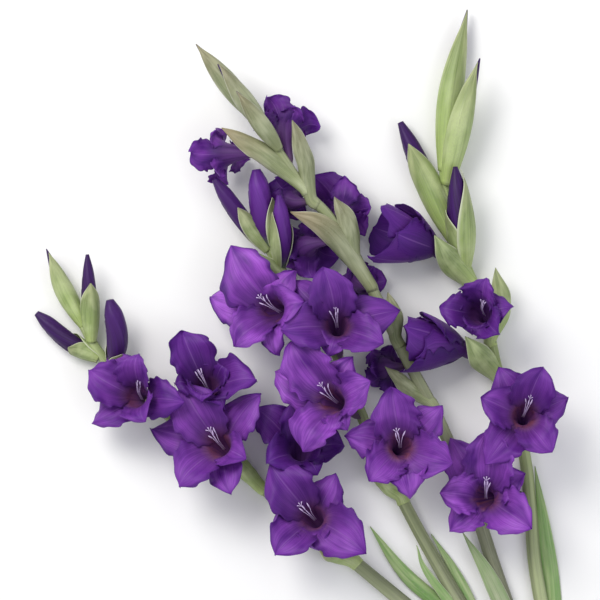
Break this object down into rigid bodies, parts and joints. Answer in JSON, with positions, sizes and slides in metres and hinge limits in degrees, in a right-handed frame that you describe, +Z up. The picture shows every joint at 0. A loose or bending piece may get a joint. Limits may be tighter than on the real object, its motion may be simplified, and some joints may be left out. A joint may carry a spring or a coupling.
{
  "type": "cut gladioli",
  "caption": "Loose bunch of cut gladiolus spikes lying flat, with violet florets, pointed buds, grey-green bracts and stems.",
  "frame": {"origin": "middle of the underside of the bounding box, on the surface the bunch lies on", "axes": "+Y from the cut ends towards the tips, +X to the right of the fan as seen from above, +Z up"},
  "size_m": [0.5706, 0.7706, 0.0978],
  "materials": {
    "stem": "waxy grey-green plant stem",
    "petal": "velvety violet petal",
    "bud": "waxy green bud with a violet tip",
    "bract": "waxy grey-green bract",
    "leaf": "green leaf blade"
  },
  "bodies": {
    "root": {"left_stem": "stem", "back_stem": "stem", "middle_stem": "stem", "right_stem": "stem", "left_bud_1": "bud", "left_bud_2": "bud", "left_bud_3": "bud", "left_bud_4": "bud", "back_bud_1": "bud", "back_bud_2": "bud", "back_bud_3": "bud", "middle_bud_1": "bud", "middle_bud_2": "bud", "middle_bud_3": "bud", "right_bud_1": "bud", "right_bud_2": "bud", "right_bud_3": "bud", "right_bud_4": "bud", "left_floret_1": "petal", "left_floret_2": "petal", "left_floret_3": "petal", "left_floret_4": "petal", "left_floret_5": "petal", "middle_floret_1": "petal", "middle_floret_2": "petal", "middle_floret_3": "petal", "middle_floret_4": "petal", "right_floret_1": "petal", "right_floret_2": "petal", "right_floret_3": "petal", "right_floret_4": "petal", "right_floret_5": "petal", "back_floret_1": "petal", "back_floret_2": "petal", "back_floret_3": "petal", "back_floret_4": "petal", "back_floret_5": "petal", "back_floret_6": "petal", "back_floret_7": "petal", "left_bract_1": "bract", "left_bract_2": "bract", "left_bract_3": "bract", "left_bract_4": "bract", "back_bract_1": "bract", "back_bract_2": "bract", "back_bract_3": "bract", "back_bract_4": "bract", "back_bract_5": "bract", "back_bract_6": "bract", "middle_bract_1": "bract", "middle_bract_2": "bract", "right_bract_1": "bract", "right_bract_2": "bract", "right_bract_3": "bract", "left_leaf": "leaf", "middle_leaf_1": "leaf", "middle_leaf_2": "leaf", "back_leaf": "leaf", "right_leaf": "leaf"}
  },
  "joints": []
}
